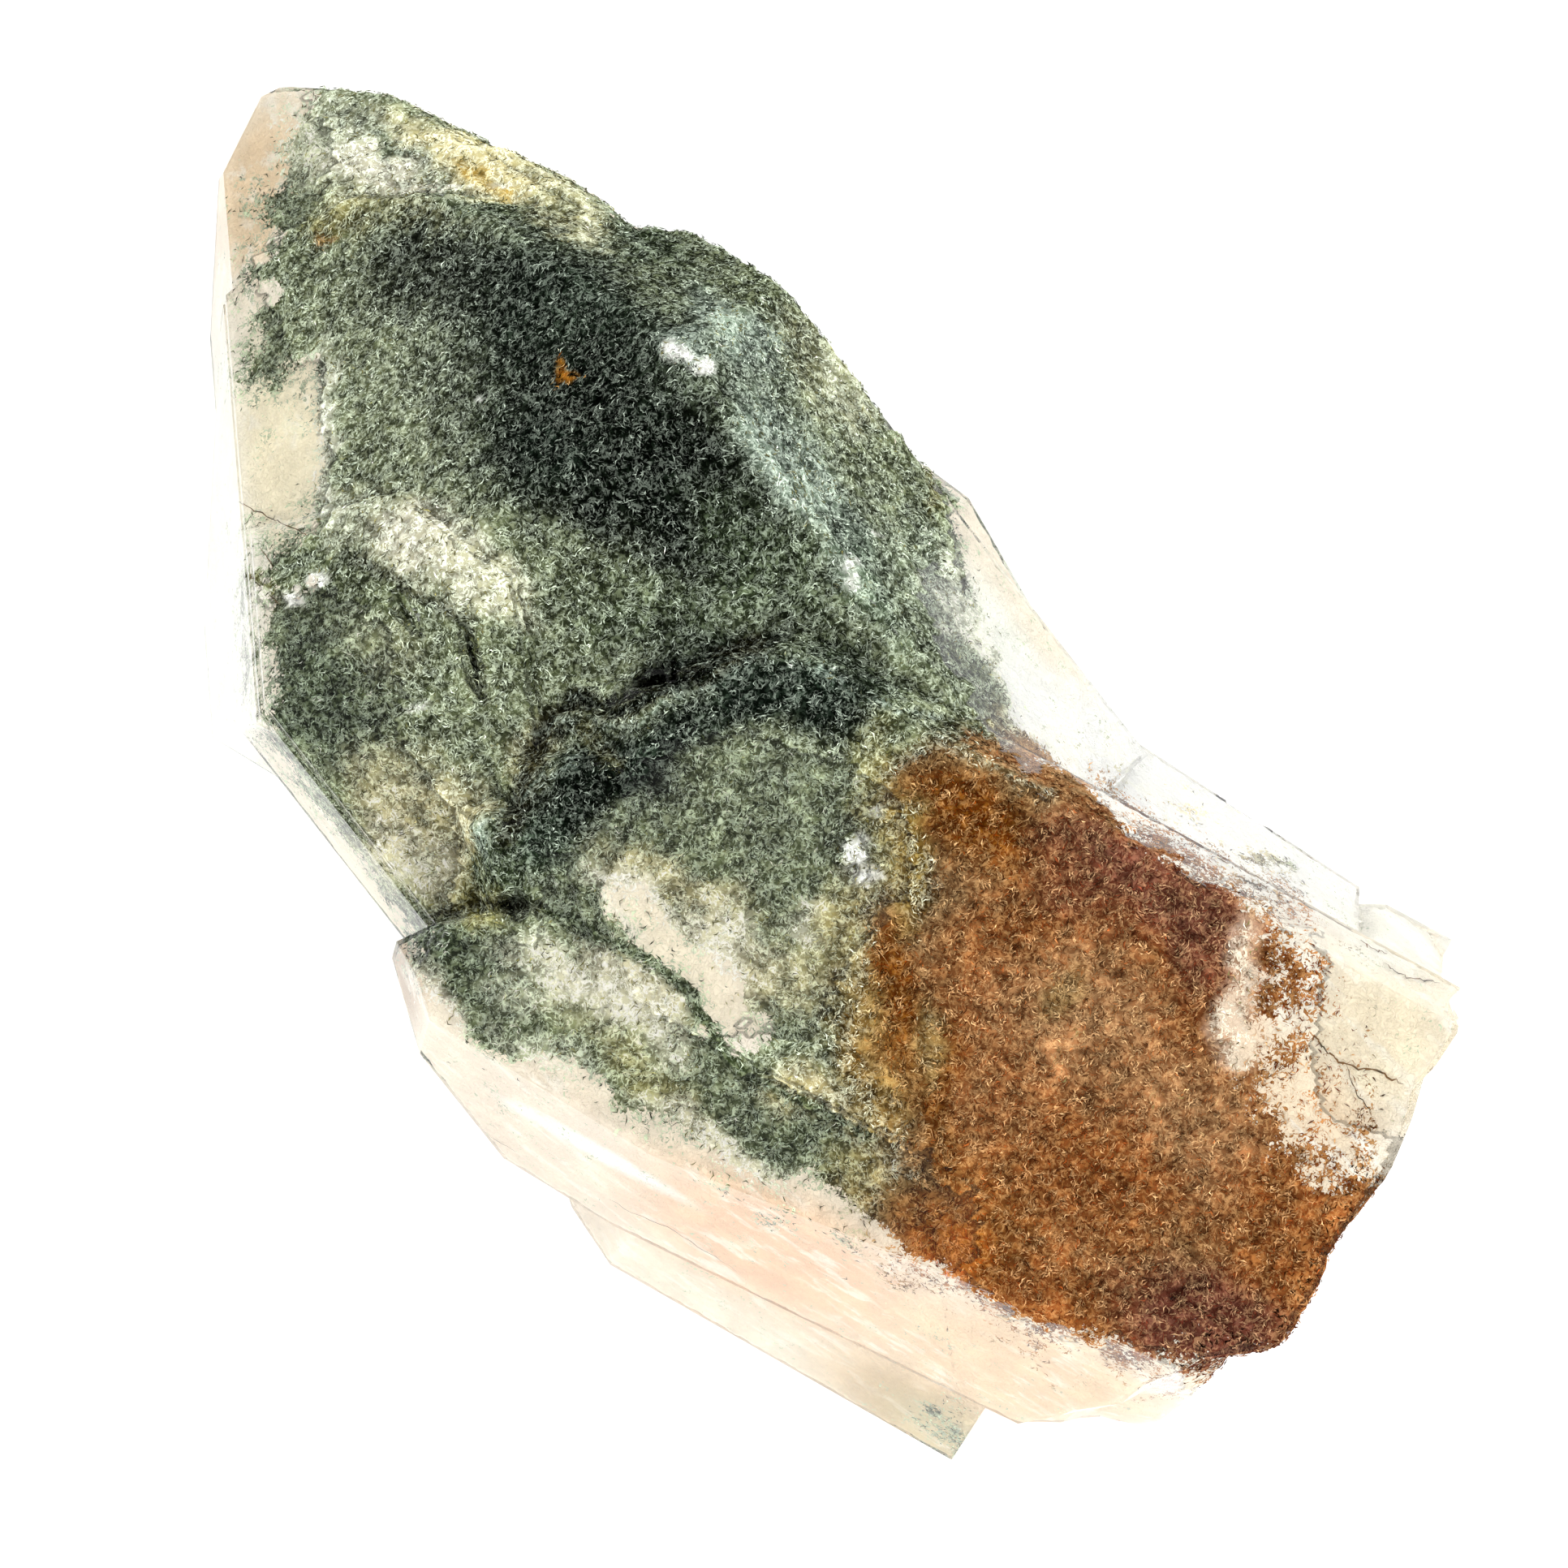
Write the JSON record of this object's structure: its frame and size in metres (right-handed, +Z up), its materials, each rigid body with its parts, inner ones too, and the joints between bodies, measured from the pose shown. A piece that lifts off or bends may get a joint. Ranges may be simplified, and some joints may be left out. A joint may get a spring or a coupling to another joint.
{
  "type": "chlorite quartz crystal cluster",
  "caption": "Cluster of intergrown quartz crystals with a stepped tip and a broken root, filled with green chlorite and rusty iron stain, resting on its flat back.",
  "frame": {"origin": "centre of the bounding box, at the height of the surface that the cluster lies on", "axes": "+X along the cluster's long way, from the broken root to the tip; +Z up from the flat back to the stepped front faces; +Y completes the frame, across the crystals"},
  "size_m": [0.0852, 0.044, 0.0314],
  "materials": {
    "quartz": "clear natural growth faces, glassy, with fine growth lines",
    "chlorite": "matte tangle of fine worm-like green grains inside the quartz",
    "iron_stain": "matte rusty grains inside the quartz"
  },
  "bodies": {
    "root": {"chlorite_quartz_crystal": "quartz"}
  },
  "joints": []
}
